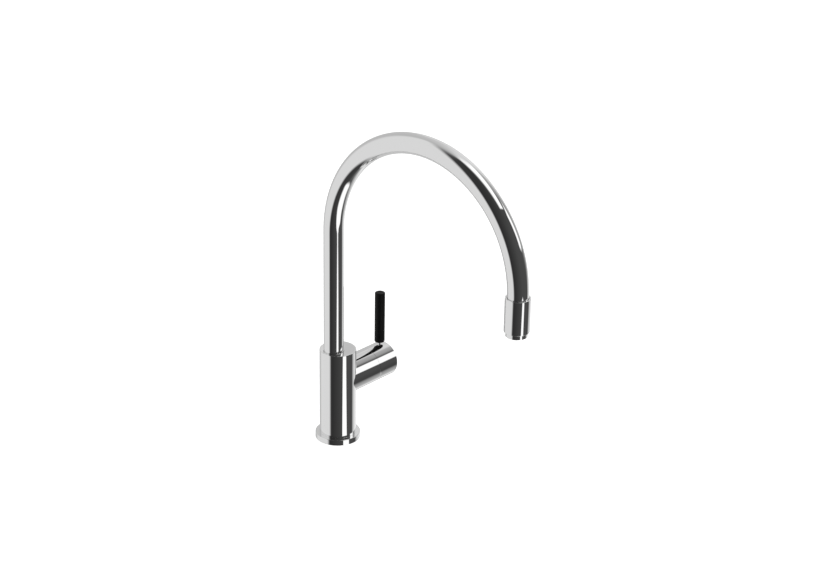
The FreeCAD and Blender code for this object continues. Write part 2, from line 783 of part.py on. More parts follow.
def disc_coupler():
    """Carrier of the moving disc, with two rails that slide in the turning guide."""
    coupler = rod_x(COUPLER_R, MOVING_DISC_END, COUPLER_END)
    half = RAIL_LENGTH / 2
    for side in (-1, 1):
        y = side * RAIL_Y
        low = (COUPLER_END, y - RAIL_W / 2, BARREL_Z - half)
        high = (COUPLER_END + RAIL_H, y + RAIL_W / 2, BARREL_Z + half)
        coupler = coupler.fuse(block(low, high))
    return coupler.cut(rod_x(BALL_SOCKET_R, MOVING_DISC_END + EASY, COUPLER_END))


def cartridge_carrier():
    """Guide that turns in the cartridge for temperature and holds the lever's cross pin."""
    carrier = rod_x(HOUSING_BORE_R - 2 * RUNNING, CARRIER_START, CARRIER_NECK)
    carrier = carrier.fuse(rod_x(NECK_R, CARRIER_NECK, CARRIER_END))
    half_slot = RAIL_SLOT_LENGTH / 2
    half_width = RAIL_W / 2 + EASY
    for side in (-1, 1):
        y = side * RAIL_Y
        low = (CARRIER_START, y - half_width, BARREL_Z - half_slot)
        high = (CARRIER_START + RAIL_H + EASY, y + half_width, BARREL_Z + half_slot)
        carrier = carrier.cut(block(low, high))
    half_w = LEVER_SLOT_W / 2
    half_h = LEVER_SLOT_H / 2
    carrier = carrier.cut(block(
        (CARRIER_START, -half_w, BARREL_Z - half_h),
        (CARRIER_END, half_w, BARREL_Z + half_h),
    ))
    return carrier.cut(rod_y(PIN_R, -NECK_R - OVER, NECK_R + OVER, PIVOT_X, BARREL_Z))


def pivot_pin():
    return rod_y(PIN_R, -PIN_LENGTH / 2, PIN_LENGTH / 2, PIVOT_X, BARREL_Z)


def cartridge_nut():
    nut = ring_x(BARREL_BORE_R, CARTRIDGE_NUT_BORE_R, HOUSING_END, CARTRIDGE_NUT_END)
    half = NUT_SLOT_W / 2
    start = CARTRIDGE_NUT_END - NUT_SLOT_DEPTH
    for turn in (0, 90, 180, 270):
        notch = block((start, NUT_SLOT_R, -half), (CARTRIDGE_NUT_END, BARREL_BORE_R + OVER, half))
        notch.rotate(V(0, 0, 0), V(1, 0, 0), turn)
        notch.translate(V(0, 0, BARREL_Z))
        nut = nut.cut(notch)
    return nut


MOUTH_HALF_DEG = 27.0
DOME_T = 1.6
DOME_SKIRT_R = 16.88


def dome_cover():
    """Ball-shaped chrome cover that closes the gap when the cap is tilted."""
    centre = V(PIVOT_X, 0, BARREL_Z)
    far = PIVOT_X + DOME_R + OVER
    ball = Part.makeSphere(DOME_R, centre).common(rod_x(DOME_SKIRT_R, DOME_SEAT_X, far))
    skirt = rod_x(DOME_SKIRT_R, DOME_SEAT_X, SEAM_X - DOME_T / 2)
    hollow = Part.makeSphere(DOME_R - DOME_T, centre)
    hollow = hollow.common(rod_x(DOME_SKIRT_R - DOME_T, PIVOT_X, far))
    depth = far - PIVOT_X
    mouth = Part.makeCone(0, depth * math.tan(math.radians(MOUTH_HALF_DEG)), depth, centre, V(1, 0, 0))
    return ball.fuse(skirt).cut(hollow).cut(mouth).removeSplitter()


# ---------------------------------------------------------------- lever
CAP_BORE_R = 17.3
CAP_FLOOR = 57.6
CAP_SEAM_EDGE = 0.05        # the turning joint's edge is left nearly sharp
WEDGE_SLACK_DEG = 0.5
SPINDLE_R = 2.8
SPINDLE_END = 70.0
SPINDLE_NECK_R = 1.3
SPINDLE_BAR_X = 31.5
SPINDLE_BAR_HALF = 3.0
GRUB_X = 63.0
GRUB_R = 2.0
GRUB_SUNK = 1.0
GRUB_KEY = 2.0
GRUB_KEY_DEPTH = 2.5
STEM_BOTTOM = 75.0
STEM_TOP = 135.0
GRIP_EDGE = 0.9


def handle_cap():
    """Turning end of the barrel. Its lower edge is cut back so that it can tilt."""
    cap = turned_x([
        (0, CAP_FLOOR),
        (CAP_BORE_R, CAP_FLOOR),
        (CAP_BORE_R, SEAM_X),
        (BARREL_R, SEAM_X, CAP_SEAM_EDGE),
        (BARREL_R, BARREL_END, EDGE),
        (0, BARREL_END),
    ])
    tilt = math.radians(TILT_DEG + WEDGE_SLACK_DEG)
    start_x = PIVOT_X + (SEAM_X + SEAM_GAP - PIVOT_X) / math.cos(tilt)
    depth = BARREL_R + OVER
    before = SEAM_X - OVER
    wedge_top = BARREL_Z + (start_x - SEAM_X) / math.tan(tilt)
    wedge = Part.Face(Part.makePolygon([
        V(before, -depth, wedge_top),
        V(SEAM_X, -depth, wedge_top),
        V(start_x + depth * math.tan(tilt), -depth, BARREL_Z - depth),
        V(before, -depth, BARREL_Z - depth),
        V(before, -depth, wedge_top),
    ])).extrude(V(0, 2 * depth, 0))
    cap = cap.cut(wedge)
    cap = cap.cut(rod_x(SPINDLE_R, CAP_FLOOR, SPINDLE_END))
    cap = cap.cut(rod_z(STEM_R, STEM_BOTTOM, BARREL_Z + BARREL_R + OVER, STEM_X))
    return cap.cut(rod_z(GRUB_R, BARREL_Z - BARREL_R, BARREL_Z - SPINDLE_R, GRUB_X))


def cap_grub_screw():
    low = BARREL_Z - BARREL_R + GRUB_SUNK
    screw = rod_z(GRUB_R, low, BARREL_Z - SPINDLE_R, GRUB_X)
    return screw.cut(hex_socket(GRUB_KEY, V(GRUB_X, 0, low), V(0, 0, 1), GRUB_KEY_DEPTH))


def lever_spindle():
    """Steel lever inside the cartridge: ball end, pivot block and round nose."""
    half = SPINDLE_BAR_HALF
    ball = Part.makeSphere(BALL_R, V(BALL_X, 0, BARREL_Z))
    neck = rod_x(SPINDLE_NECK_R, BALL_X, SPINDLE_BAR_X + OVER)
    bar = block((SPINDLE_BAR_X, -half, BARREL_Z - half), (CARRIER_END, half, BARREL_Z + half))
    nose = rod_x(SPINDLE_R, CARRIER_END - OVER, SPINDLE_END)
    spindle = ball.fuse(neck).fuse(bar).fuse(nose)
    return spindle.cut(rod_y(PIN_R + RUNNING, -half - OVER, half + OVER, PIVOT_X, BARREL_Z))


def lever_stem():
    return rod_z(STEM_R, STEM_BOTTOM, STEM_TOP, STEM_X)


def lever_grip():
    grip = turned_z([
        (0, GRIP_BOTTOM),
        (GRIP_R, GRIP_BOTTOM, GRIP_EDGE),
        (GRIP_R, GRIP_TOP, GRIP_EDGE),
        (0, GRIP_TOP),
    ], STEM_X)
    return grip.cut(rod_z(STEM_R, GRIP_BOTTOM, STEM_TOP, STEM_X))


PIECES = (
    base_flange, base_gasket, threaded_shank, rubber_washer, steel_washer, clamp_nut, jack_screws,
    hose_guide, body_shell, swivel_bush, swivel_stop_screw,
    spout_tube, spout_sleeve, dock_insert, spray_hose,
    hose_tail, hose_ferrule, hose_connector, connector_oring,
    head_shell, head_liner, swivel_nut, check_valve_body, check_valve_poppet, check_valve_spring,
    aerator_ring, aerator_insert, aerator_seal,
    barrel_housing, valve_manifold, inlet_sockets, cartridge_seat, seat_screws,
    cartridge_base, port_seals, fixed_disc, cartridge_housing, moving_disc, disc_coupler,
    cartridge_carrier, pivot_pin, cartridge_nut, dome_cover,
    handle_cap, cap_grub_screw, lever_spindle, lever_stem, lever_grip,
)

for piece in PIECES:
    save(piece.__name__, piece())
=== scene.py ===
import json
import math

import bmesh
import bpy
from mathutils import Matrix, Vector


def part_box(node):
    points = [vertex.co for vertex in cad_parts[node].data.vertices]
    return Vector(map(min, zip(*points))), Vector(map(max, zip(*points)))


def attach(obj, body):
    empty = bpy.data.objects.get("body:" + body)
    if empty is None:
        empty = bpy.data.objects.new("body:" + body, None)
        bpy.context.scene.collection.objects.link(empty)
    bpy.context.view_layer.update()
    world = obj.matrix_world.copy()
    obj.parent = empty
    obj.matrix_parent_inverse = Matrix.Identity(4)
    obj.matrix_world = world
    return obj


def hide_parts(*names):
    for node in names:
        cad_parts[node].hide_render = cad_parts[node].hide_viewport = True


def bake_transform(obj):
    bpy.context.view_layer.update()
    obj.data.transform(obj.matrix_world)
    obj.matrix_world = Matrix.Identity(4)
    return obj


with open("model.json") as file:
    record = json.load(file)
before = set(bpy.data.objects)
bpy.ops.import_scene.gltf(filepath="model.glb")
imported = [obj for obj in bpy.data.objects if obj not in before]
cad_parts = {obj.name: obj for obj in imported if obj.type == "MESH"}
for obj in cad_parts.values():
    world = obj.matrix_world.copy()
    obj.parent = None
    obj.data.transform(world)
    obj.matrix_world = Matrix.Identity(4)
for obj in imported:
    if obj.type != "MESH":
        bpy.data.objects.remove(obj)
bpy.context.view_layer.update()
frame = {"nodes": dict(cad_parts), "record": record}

# Everything is in metres, in the model's own frame: +Z up, spout along -Y, lever barrel along +X.
MM = 0.001
AROUND = 128                 # facets round a turned piece
ARC_STEP = math.radians(12)  # longest step round a rounded edge
SHARP = math.radians(38)     # an edge that turns more than this stays crisp

# ---------------------------------------------------------------- sizes, read from the frame


def extent(node, axis):
    """Lowest and highest coordinate of a node along one axis: 0, 1 or 2."""
    low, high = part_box(node)
    return low[axis], high[axis]


def round_extent(node, axis):
    """Centre and radius of a round node, measured along one axis."""
    low, high = extent(node, axis)
    return (low + high) / 2, (high - low) / 2


flange_h = extent("base_flange", 2)[1]
flange_r = extent("base_flange", 0)[1]
body_r = extent("body_shell", 0)[1]
body_top = extent("body_shell", 2)[1]
shank_r = extent("threaded_shank", 0)[1]
shank_low, shank_high = extent("threaded_shank", 2)

spout_x, tube_r = round_extent("spout_tube", 0)
tube_foot_z, crown_z = extent("spout_tube", 2)
outlet_y = extent("spout_tube", 1)[0] + tube_r
arc_r = -outlet_y / 2
arc_z = crown_z - tube_r - arc_r

_, head_r = round_extent("head_shell", 0)
head_bottom, head_top = extent("head_shell", 2)
_, ring_r = round_extent("aerator_ring", 0)
ring_bottom = extent("aerator_ring", 2)[0]

cap_start, cap_end = extent("handle_cap", 0)
barrel_z, barrel_r = round_extent("handle_cap", 2)
seam_x = extent("barrel_housing", 0)[1]
lever_tilt = next(j for j in frame["record"]["behaviour"]["joints"] if j["name"] == "lever_tilt")
pivot_x = lever_tilt["pos_m"][0]
tilt_range = lever_tilt["range_deg"][1]

stem_x, stem_r = round_extent("lever_stem", 0)
stem_bottom, stem_top = extent("lever_stem", 2)
_, grip_r = round_extent("lever_grip", 0)
grip_bottom, grip_top = extent("lever_grip", 2)

_, hose_r = round_extent("hose_tail", 0)
tail_low, tail_high = extent("hose_tail", 2)

# ---------------------------------------------------------------- sizes that a box doesn't show
GASKET_IN_R = 19.0 * MM
SHANK_BORE_R = 14.0 * MM
BODY_BORE_R = 17.6 * MM
TUBE_WALL = 1.5 * MM
MOUTH_DROP = 3.6 * MM        # straight end of the spout, below its half circle
HEAD_BORE_R = 10.8 * MM
AERATOR_BORE_R = 7.8 * MM
HOUSING_WALL = 2.6 * MM
CAP_WALL = 2.2 * MM
CAP_DEPTH = 10.1 * MM        # depth of the cap's socket
DOME_WALL = 1.6 * MM
HOSE_WALL = 2.0 * MM
SPRING_WIRE_R = 0.2 * MM

mouth_z = arc_z - MOUTH_DROP

# ---------------------------------------------------------------- the photographed view
VIEW_AZIMUTH = -46.16        # degrees, camera's bearing about the body
VIEW_ELEVATION = 24.64
VIEW_DISTANCE = 2134 * MM
VIEW_CENTRE = Vector((0, 0, 150 * MM))
VIEW_AIM = Vector((62.2, -51.3, 174.2)) * MM
VIEW_ROLL = 0.98             # degrees
SENSOR = 36.0
LENS = 86.67


def camera():
    """Camera of the photographed view."""
    turn = math.radians(VIEW_AZIMUTH)
    rise = math.radians(VIEW_ELEVATION)
    away = Vector((
        math.sin(turn) * math.cos(rise),
        -math.cos(turn) * math.cos(rise),
        math.sin(rise),
    ))
    data = bpy.data.cameras.new("camera")
    data.sensor_width = SENSOR
    data.lens = LENS
    data.clip_start = 0.05
    data.clip_end = 50
    seen_from = bpy.data.objects.new("camera", data)
    bpy.context.scene.collection.objects.link(seen_from)
    seen_from.location = VIEW_CENTRE + away * VIEW_DISTANCE
    looking = (VIEW_AIM - seen_from.location).to_track_quat("-Z", "Y").to_matrix()
    looking = looking @ Matrix.Rotation(math.radians(VIEW_ROLL), 3, "Z")
    seen_from.rotation_euler = looking.to_euler()
    bpy.context.scene.camera = seen_from


# ---------------------------------------------------------------- node helpers
def feed(tree, slot, value):
    """Set a socket to a number, or link it to another socket."""
    if isinstance(value, (int, float)):
        slot.default_value = value
    else:
        tree.links.new(value, slot)


def number(tree, operation, *values):
    """A Math node; each value is a socket or a number."""
    node = tree.nodes.new("ShaderNodeMath")
    node.operation = operation
    for slot, value in zip(node.inputs, values):
        feed(tree, slot, value)
    return node.outputs[0]


def remap(tree, value, low, high, to_low=0.0, to_high=1.0, smooth=True):
    """value carried from low..high to to_low..to_high, held at both ends."""
    node = tree.nodes.new("ShaderNodeMapRange")
    node.interpolation_type = "SMOOTHSTEP" if smooth else "LINEAR"
    tree.links.new(value, node.inputs["Value"])
    node.inputs["From Min"].default_value = low
    node.inputs["From Max"].default_value = high
    node.inputs["To Min"].default_value = to_low
    node.inputs["To Max"].default_value = to_high
    return node.outputs["Result"]


def between(tree, value, low, high, soft_low, soft_high):
    """1 between low and high, falling to 0 over a soft edge centred on each."""
    rises = remap(tree, value, low - soft_low / 2, low + soft_low / 2)
    falls = remap(tree, value, high - soft_high / 2, high + soft_high / 2, 1.0, 0.0)
    return number(tree, "MULTIPLY", rises, falls)


def mixed(tree, share, first, second):
    """Float between first and second, which are sockets or numbers."""
    node = tree.nodes.new("ShaderNodeMix")
    node.data_type = "FLOAT"
    tree.links.new(share, node.inputs[0])
    feed(tree, node.inputs[2], first)
    feed(tree, node.inputs[3], second)
    return node.outputs[0]


def split(tree, vector):
    """The X, Y and Z of a vector."""
    parts = tree.nodes.new("ShaderNodeSeparateXYZ")
    tree.links.new(vector, parts.inputs["Vector"])
    return parts.outputs


# ---------------------------------------------------------------- studio
# The studio is described as the camera sees it mirrored: a bearing in degrees round from the
# camera, positive to its right, a height in degrees, and the display grey that chrome shows.
CHROME_LEVEL = 0.88
WHITE = 1.15                 # softboxes, a little over white

# Bearings and heights are in degrees. What runs along or across lies on a level plane one unit
# above or below the tap. A span is (start, end, softness of its start, softness of its end).
CEILING_BOX_ACROSS = (-0.02, 0.73, 0.33, 0.05)
CEILING_BOX_ALONG = (-0.05, 0.95, 0.25, 0.06)
STRIP_ALONG = (0.32, 2.55, 0.1, 0.5)
SIDE_BOX_BEARING = (84.5, 110, 4, 10)

# A slope is (from, to, value at from, value at to).
STRIP_SOFTNESS = (0.8, 1.7, 0.28, 0.06)
SIDE_BOX_TOP = (32, 35.5, 1.0, 0.0)
SIDE_BOX_FOOT = (86, 100, 9.5, 4.0)
SIDE_BOX_FOOT_SOFTNESS = 4.0

# The strip's half width at its near end, and how it changes: each step is (from, to, change).
STRIP_HALF_WIDTH = 0.35
STRIP_LEFT = ((0.3, 0.95, 0.2), (1.4, 1.8, -0.015), (1.75, 2.7, -0.32))
STRIP_RIGHT = ((0.3, 0.95, 0.2), (0.9, 1.4, 0.15), (1.4, 2.1, -0.42), (2.1, 2.95, -0.5))

ROUND_BOX_BEARING = -117.0   # big round softbox on the left
ROUND_BOX_HEIGHT = -6.0
ROUND_BOX_HALF_WIDTH = 67.5
ROUND_BOX_SOFTNESS = 14.0
ROUND_BOX_CUT = (-148, -120)
ROUND_BOX_GREY = 214

# Greys round the studio at five heights: pale wall behind, black flag before the tap, wall
# again on the right. Each entry is (bearing, grey).
OVERHEAD = (
    (-180, 192), (-150, 182), (-120, 165), (-90, 118), (-75, 77), (-60, 54), (-30, 48), (0, 54),
    (40, 66), (94, 70), (102, 88), (106, 128), (112, 152), (130, 168), (139, 204), (155, 212),
    (180, 192),
)
LEVEL = (
    (-180, 190), (-160, 184), (-120, 180), (-100, 150), (-80, 46), (-30, 47), (0, 58), (40, 70),
    (94, 72), (101, 86), (107, 106), (118, 134), (128, 158), (138, 200), (150, 220), (180, 205),
)
LOWER = (
    (-180, 190), (-160, 184), (-120, 180), (-100, 150), (-80, 46), (-30, 47), (0, 58), (40, 70),
    (80, 72), (97, 62), (103, 116), (111, 182), (121, 206), (135, 224), (150, 238), (180, 200),
)
NEAR_FLOOR = (
    (-180, 192), (-120, 190), (-90, 150), (-75, 80), (-60, 56), (-30, 52), (0, 60), (40, 68),
    (93, 67), (100, 112), (107, 148), (119, 161), (130, 187), (147, 224), (165, 205), (180, 192),
)
FLOOR = (
    (-180, 190), (-135, 182), (-105, 156), (-90, 138), (-75, 82), (-60, 55), (0, 62), (30, 70),
    (60, 92), (90, 104), (120, 113), (140, 150), (160, 225), (180, 190),
)

# What lies above the floor's greys: each entry is (greys, height it starts at, height it's full).
LAYERS = ((NEAR_FLOOR, -80, -68), (LOWER, -38, -29), (LEVEL, -20, -8), (OVERHEAD, 28, 38))

GROUND_HALF_WIDTH = 6.0
GROUND_GAP = 0.1 * MM        # below the flange's underside
GROUND_GREY = 0.8
GROUND_GLOW = 0.9


def display(grey):
    """Light that chrome has to mirror to be shown as this grey, from 0 to 255 (sRGB curve)."""
    share = grey / 255
    return ((share + 0.055) / 1.055) ** 2.4 / CHROME_LEVEL


def graded(tree, bearing, greys):
    """Light read off a list of (bearing, grey)."""
    node = tree.nodes.new("ShaderNodeValToRGB")
    stops = node.color_ramp.elements
    while len(stops) < len(greys):
        stops.new(1.0)
    for stop, (place, grey) in zip(stops, greys):
        stop.position = (place + 180) / 360
        light = display(grey)
        stop.color = (light, light, light, 1)
    share = remap(tree, bearing, -180, 180, smooth=False)
    tree.links.new(share, node.inputs["Fac"])
    return node.outputs["Color"]


def inside(tree, value, limit, soft):
    """1 while value is below limit, falling to 0 over soft; any of them may be a socket."""
    margin = number(tree, "DIVIDE", number(tree, "SUBTRACT", limit, value), soft)
    return remap(tree, margin, -0.5, 0.5)


def stepped(tree, value, first, steps):
    """first, changed smoothly as value passes each (from, to, change)."""
    total = first
    for start, end, change in steps:
        total = number(tree, "ADD", remap(tree, value, start, end, 0.0, change), total)
    return total


def on_plane(tree, ahead, side, towards):
    """
    Where a direction meets a level plane one unit away: along the spout's reach, and across it.
    The spout runs at 45 degrees to the camera's bearing.
    """
    diagonal = math.sqrt(2)
    least_depth = 0.001
    depth = number(tree, "MAXIMUM", number(tree, "MULTIPLY", towards, diagonal), least_depth)
    along = number(tree, "DIVIDE", number(tree, "ADD", ahead, side), depth)
    across = number(tree, "DIVIDE", number(tree, "SUBTRACT", side, ahead), depth)
    return along, across


def ceiling_box(tree, ahead, side, up):
    """Oblong softbox overhead, on the lever's side."""
    along, across = on_plane(tree, ahead, side, up)
    return number(
        tree, "MULTIPLY",
        between(tree, across, *CEILING_BOX_ACROSS),
        between(tree, along, *CEILING_BOX_ALONG),
    )


def floor_strip(tree, ahead, side, up):
    """White board lying on the ground before the tap; it narrows as it runs away."""
    along, right = on_plane(tree, ahead, side, number(tree, "MULTIPLY", up, -1.0))
    left = number(tree, "MULTIPLY", right, -1.0)
    soft = remap(tree, along, *STRIP_SOFTNESS)
    strip = between(tree, along, *STRIP_ALONG)
    for sideways, steps in ((left, STRIP_LEFT), (right, STRIP_RIGHT)):
        limit = stepped(tree, along, STRIP_HALF_WIDTH, steps)
        strip = number(tree, "MULTIPLY", strip, inside(tree, sideways, limit, soft))
    return strip


def round_softbox(tree, bearing, ahead, side, up):
    """Big round softbox, cut off at its far side."""
    turn = math.radians(ROUND_BOX_BEARING)
    rise = math.radians(ROUND_BOX_HEIGHT)
    centre = (
        math.cos(turn) * math.cos(rise),
        math.sin(turn) * math.cos(rise),
        math.sin(rise),
    )
    near = 0.0
    for part, share in zip((ahead, side, up), centre):
        near = number(tree, "ADD", number(tree, "MULTIPLY", part, share), near)
    off_centre = number(tree, "DEGREES", number(tree, "ARCCOSINE", near))
    disc = inside(tree, off_centre, ROUND_BOX_HALF_WIDTH, ROUND_BOX_SOFTNESS)
    return number(tree, "MULTIPLY", disc, remap(tree, bearing, *ROUND_BOX_CUT))


def side_softbox(tree, bearing, height):
    """Small softbox level with the tap; its lower edge slopes."""
    foot = remap(tree, bearing, *SIDE_BOX_FOOT, smooth=False)
    above = number(tree, "SUBTRACT", height, foot)
    soft = SIDE_BOX_FOOT_SOFTNESS / 2
    box = number(
        tree, "MULTIPLY",
        between(tree, bearing, *SIDE_BOX_BEARING),
        remap(tree, height, *SIDE_BOX_TOP),
    )
    return number(tree, "MULTIPLY", box, remap(tree, above, -soft, soft))


def studio_world():
    """Pale walls, a wide black flag on the camera's side and white softboxes."""
    world = bpy.data.worlds.new("studio")
    bpy.context.scene.world = world
    world.use_nodes = True
    tree = world.node_tree
    tree.nodes.clear()

    # Turned so that X points at the camera.
    coordinates = tree.nodes.new("ShaderNodeTexCoord")
    turned = tree.nodes.new("ShaderNodeVectorRotate")
    turned.rotation_type = "Z_AXIS"
    turned.inputs["Angle"].default_value = math.radians(90 - VIEW_AZIMUTH)
    tree.links.new(coordinates.outputs["Generated"], turned.inputs["Vector"])
    ahead, side, up = split(tree, turned.outputs["Vector"])

    bearing = number(tree, "DEGREES", number(tree, "ARCTAN2", side, ahead))
    height = number(tree, "DEGREES", number(tree, "ARCSINE", up))

    level = graded(tree, bearing, FLOOR)
    for greys, start, end in LAYERS:
        level = mixed(tree, remap(tree, height, start, end), level, graded(tree, bearing, greys))

    round_box = round_softbox(tree, bearing, ahead, side, up)
    level = mixed(tree, round_box, level, display(ROUND_BOX_GREY))
    white_boxes = (
        ceiling_box(tree, ahead, side, up),
        side_softbox(tree, bearing, height),
        floor_strip(tree, ahead, side, up),
    )
    for box in white_boxes:
        level = mixed(tree, box, level, WHITE)

    # The camera itself sees only white.
    seen = tree.nodes.new("ShaderNodeLightPath")
    level = mixed(tree, seen.outputs["Is Camera Ray"], level, 1.0)
    background = tree.nodes.new("ShaderNodeBackground")
    background.inputs["Color"].default_value = (1, 1, 1, 1)
    tree.links.new(level, background.inputs["Strength"])
    output = tree.nodes.new("ShaderNodeOutputWorld")
    tree.links.new(background.outputs[0], output.inputs["Surface"])


def floor():
    """Plain white floor, a hair under the flange; chrome mirrors the studio instead of it."""
    data = bpy.data.meshes.new("floor")
    turns = ((-1, -1), (1, -1), (1, 1), (-1, 1))
    corners = [(x * GROUND_HALF_WIDTH, y * GROUND_HALF_WIDTH, -GROUND_GAP) for x, y in turns]
    data.from_pydata(corners, [], [(0, 1, 2, 3)])
    ground = bpy.data.objects.new("floor", data)
    bpy.context.scene.collection.objects.link(ground)
    material = bpy.data.materials.new("floor")
    material.use_nodes = True
    shader = material.node_tree.nodes["Principled BSDF"]
    shader.inputs["Base Color"].default_value = (GROUND_GREY, GROUND_GREY, GROUND_GREY, 1)
    shader.inputs["Roughness"].default_value = 1.0
    shader.inputs["Specular IOR Level"].default_value = 0.0
    shader.inputs["Emission Color"].default_value = (1, 1, 1, 1)
    shader.inputs["Emission Strength"].default_value = GROUND_GLOW
    data.materials.append(material)
    ground.visible_glossy = False


# ---------------------------------------------------------------- materials
OUTWARD = "outward"          # attribute that points away from a moving hose's axis
BRAID_STRANDS = 10           # strands wound each way round a hose


def principled(name, colour, metallic, roughness):
    """A new material, its node tree and its shader."""
    material = bpy.data.materials.new(name)
    material.use_nodes = True
    shader = material.node_tree.nodes["Principled BSDF"]
    shader.inputs["Base Color"].default_value = (*colour, 1)
    shader.inputs["Metallic"].default_value = metallic
    shader.inputs["Roughness"].default_value = roughness
    return material, material.node_tree, shader


def noise(tree, size, detail=3.0, stretch=(1, 1, 1)):
    """Noise whose grains are about size metres, in the object's own coordinates."""
    coordinates = tree.nodes.new("ShaderNodeTexCoord")
    mapping = tree.nodes.new("ShaderNodeMapping")
    mapping.inputs["Scale"].default_value = stretch
    tree.links.new(coordinates.outputs["Object"], mapping.inputs["Vector"])
    texture = tree.nodes.new("ShaderNodeTexNoise")
    texture.inputs["Scale"].default_value = 1 / size
    texture.inputs["Detail"].default_value = detail
    tree.links.new(mapping.outputs["Vector"], texture.inputs["Vector"])
    return texture.outputs["Fac"]


def roughen(tree, shader, grain, low, high, middle=0.5):
    """Roughness from low to high, as grain goes past the middle of its range."""
    half = 0.2
    value = remap(tree, grain, middle - half, middle + half, low, high)
    tree.links.new(value, shader.inputs["Roughness"])


def bump(tree, shader, height, strength, distance):
    """Small relief; height is a socket."""
    node = tree.nodes.new("ShaderNodeBump")
    node.inputs["Strength"].default_value = strength
    node.inputs["Distance"].default_value = distance
    tree.links.new(height, node.inputs["Height"])
    tree.links.new(node.outputs["Normal"], shader.inputs["Normal"])


def chrome():
    """Polished chrome with faint smears."""
    material, tree, shader = principled("chrome", (0.88, 0.88, 0.88), 1.0, 0.03)
    roughen(tree, shader, noise(tree, 12 * MM, 4.0), 0.015, 0.04, middle=0.55)
    bump(tree, shader, noise(tree, 9 * MM, 1.0), 0.008, 0.3 * MM)
    return material


def turned_metal(name, colour, roughness):
    """Machined metal: fine tool marks round the piece and a little tarnish."""
    material, tree, shader = principled(name, colour, 1.0, roughness)
    marks = noise(tree, 0.5 * MM, 2.0, (0.05, 0.05, 1))
    tarnish = number(tree, "MULTIPLY", noise(tree, 7 * MM), 0.4)
    wear = number(tree, "ADD", number(tree, "MULTIPLY", marks, 0.6), tarnish)
    roughen(tree, shader, wear, roughness * 0.7, roughness * 1.5)
    bump(tree, shader, marks, 0.04, 0.05 * MM)
    return material


def moulded(name, colour, roughness, grain, strength):
    """Moulded plastic or rubber with a fine surface grain."""
    material, tree, shader = principled(name, colour, 0.0, roughness)
    roughen(tree, shader, noise(tree, 5 * MM), roughness * 0.85, roughness * 1.2)
    bump(tree, shader, noise(tree, grain, 2.0), strength, 0.05 * MM)
    return material


def black_grip():
    """Soft matt black sleeve."""
    material, tree, shader = principled("black_grip", (0.004, 0.004, 0.004), 0.0, 0.5)
    shader.inputs["Specular IOR Level"].default_value = 0.14
    roughen(tree, shader, noise(tree, 4 * MM), 0.42, 0.58)
    bump(tree, shader, noise(tree, 0.6 * MM, 2.0), 0.06, 0.05 * MM)
    return material


def hose_braid(name, marked=False):
    """
    Woven grey nylon sleeve: strands wound both ways round the hose, over and under by turns.
    A hose whose skin moves is marked with the way out from its axis; a still one is not.
    """
    material, tree, shader = principled(name, (0.3, 0.3, 0.32), 0.0, 0.5)
    coordinates = tree.nodes.new("ShaderNodeTexCoord")
    x, y, z = split(tree, coordinates.outputs["Object"])
    if marked:
        outward = tree.nodes.new("ShaderNodeAttribute")
        outward.attribute_name = OUTWARD
        off_x, off_y, _ = split(tree, outward.outputs["Vector"])
    else:
        under_outlet = number(tree, "LESS_THAN", y, outlet_y / 2)
        off_x = number(tree, "SUBTRACT", x, spout_x)
        off_y = number(tree, "SUBTRACT", y, number(tree, "MULTIPLY", under_outlet, outlet_y))
    waves_round = BRAID_STRANDS / 2
    turn = number(tree, "MULTIPLY", number(tree, "ARCTAN2", off_y, off_x), waves_round)
    climb = number(tree, "MULTIPLY", z, waves_round / hose_r)
    waves = [
        number(tree, "SINE", number(tree, operation, turn, climb))
        for operation in ("ADD", "SUBTRACT")
    ]

    # Where the waves agree the first strand lies on top, and elsewhere the second.
    first_on_top = remap(tree, number(tree, "MULTIPLY", *waves), -0.35, 0.35)
    sunk = 0.4
    lifts = (
        remap(tree, first_on_top, 0, 1, sunk, 1.0),
        remap(tree, first_on_top, 0, 1, 1.0, sunk),
    )
    crowns = [
        number(tree, "MULTIPLY", number(tree, "ABSOLUTE", wave), lift)
        for wave, lift in zip(waves, lifts)
    ]
    height = number(tree, "MAXIMUM", *crowns)

    # Pale crowns and painted shade that darkens the gaps between strands to near black; one set of
    # strands paler than the other, fine filaments in both.
    gap_shaded_grey = remap(tree, height, 0.3, 0.85, 0.01, 0.34)
    shade = number(tree, "ADD", gap_shaded_grey, remap(tree, first_on_top, 0, 1, 0.0, 0.10))
    filaments = remap(tree, noise(tree, 0.25 * MM, 2.0), 0.3, 0.7, 0.8, 1.15)
    shade = number(tree, "MULTIPLY", shade, filaments)
    tree.links.new(shade, shader.inputs["Base Color"])
    bump(tree, shader, height, 0.7, 0.35 * MM)
    return material


MATERIALS = {
    "chrome": chrome(),
    "black_grip": black_grip(),
    "brass": turned_metal("brass", (0.72, 0.53, 0.26), 0.25),
    "steel": turned_metal("steel", (0.62, 0.62, 0.63), 0.28),
    "rubber": moulded("rubber", (0.02, 0.02, 0.02), 0.75, 0.3 * MM, 0.3),
    "hose_braid": hose_braid("hose_braid"),
    "grey_plastic": moulded("grey_plastic", (0.42, 0.42, 0.43), 0.45, 0.3 * MM, 0.15),
    "cartridge_plastic": moulded("cartridge_plastic", (0.78, 0.78, 0.76), 0.3, 0.3 * MM, 0.1),
    "ceramic": moulded("ceramic", (0.88, 0.87, 0.84), 0.2, 0.15 * MM, 0.05),
}


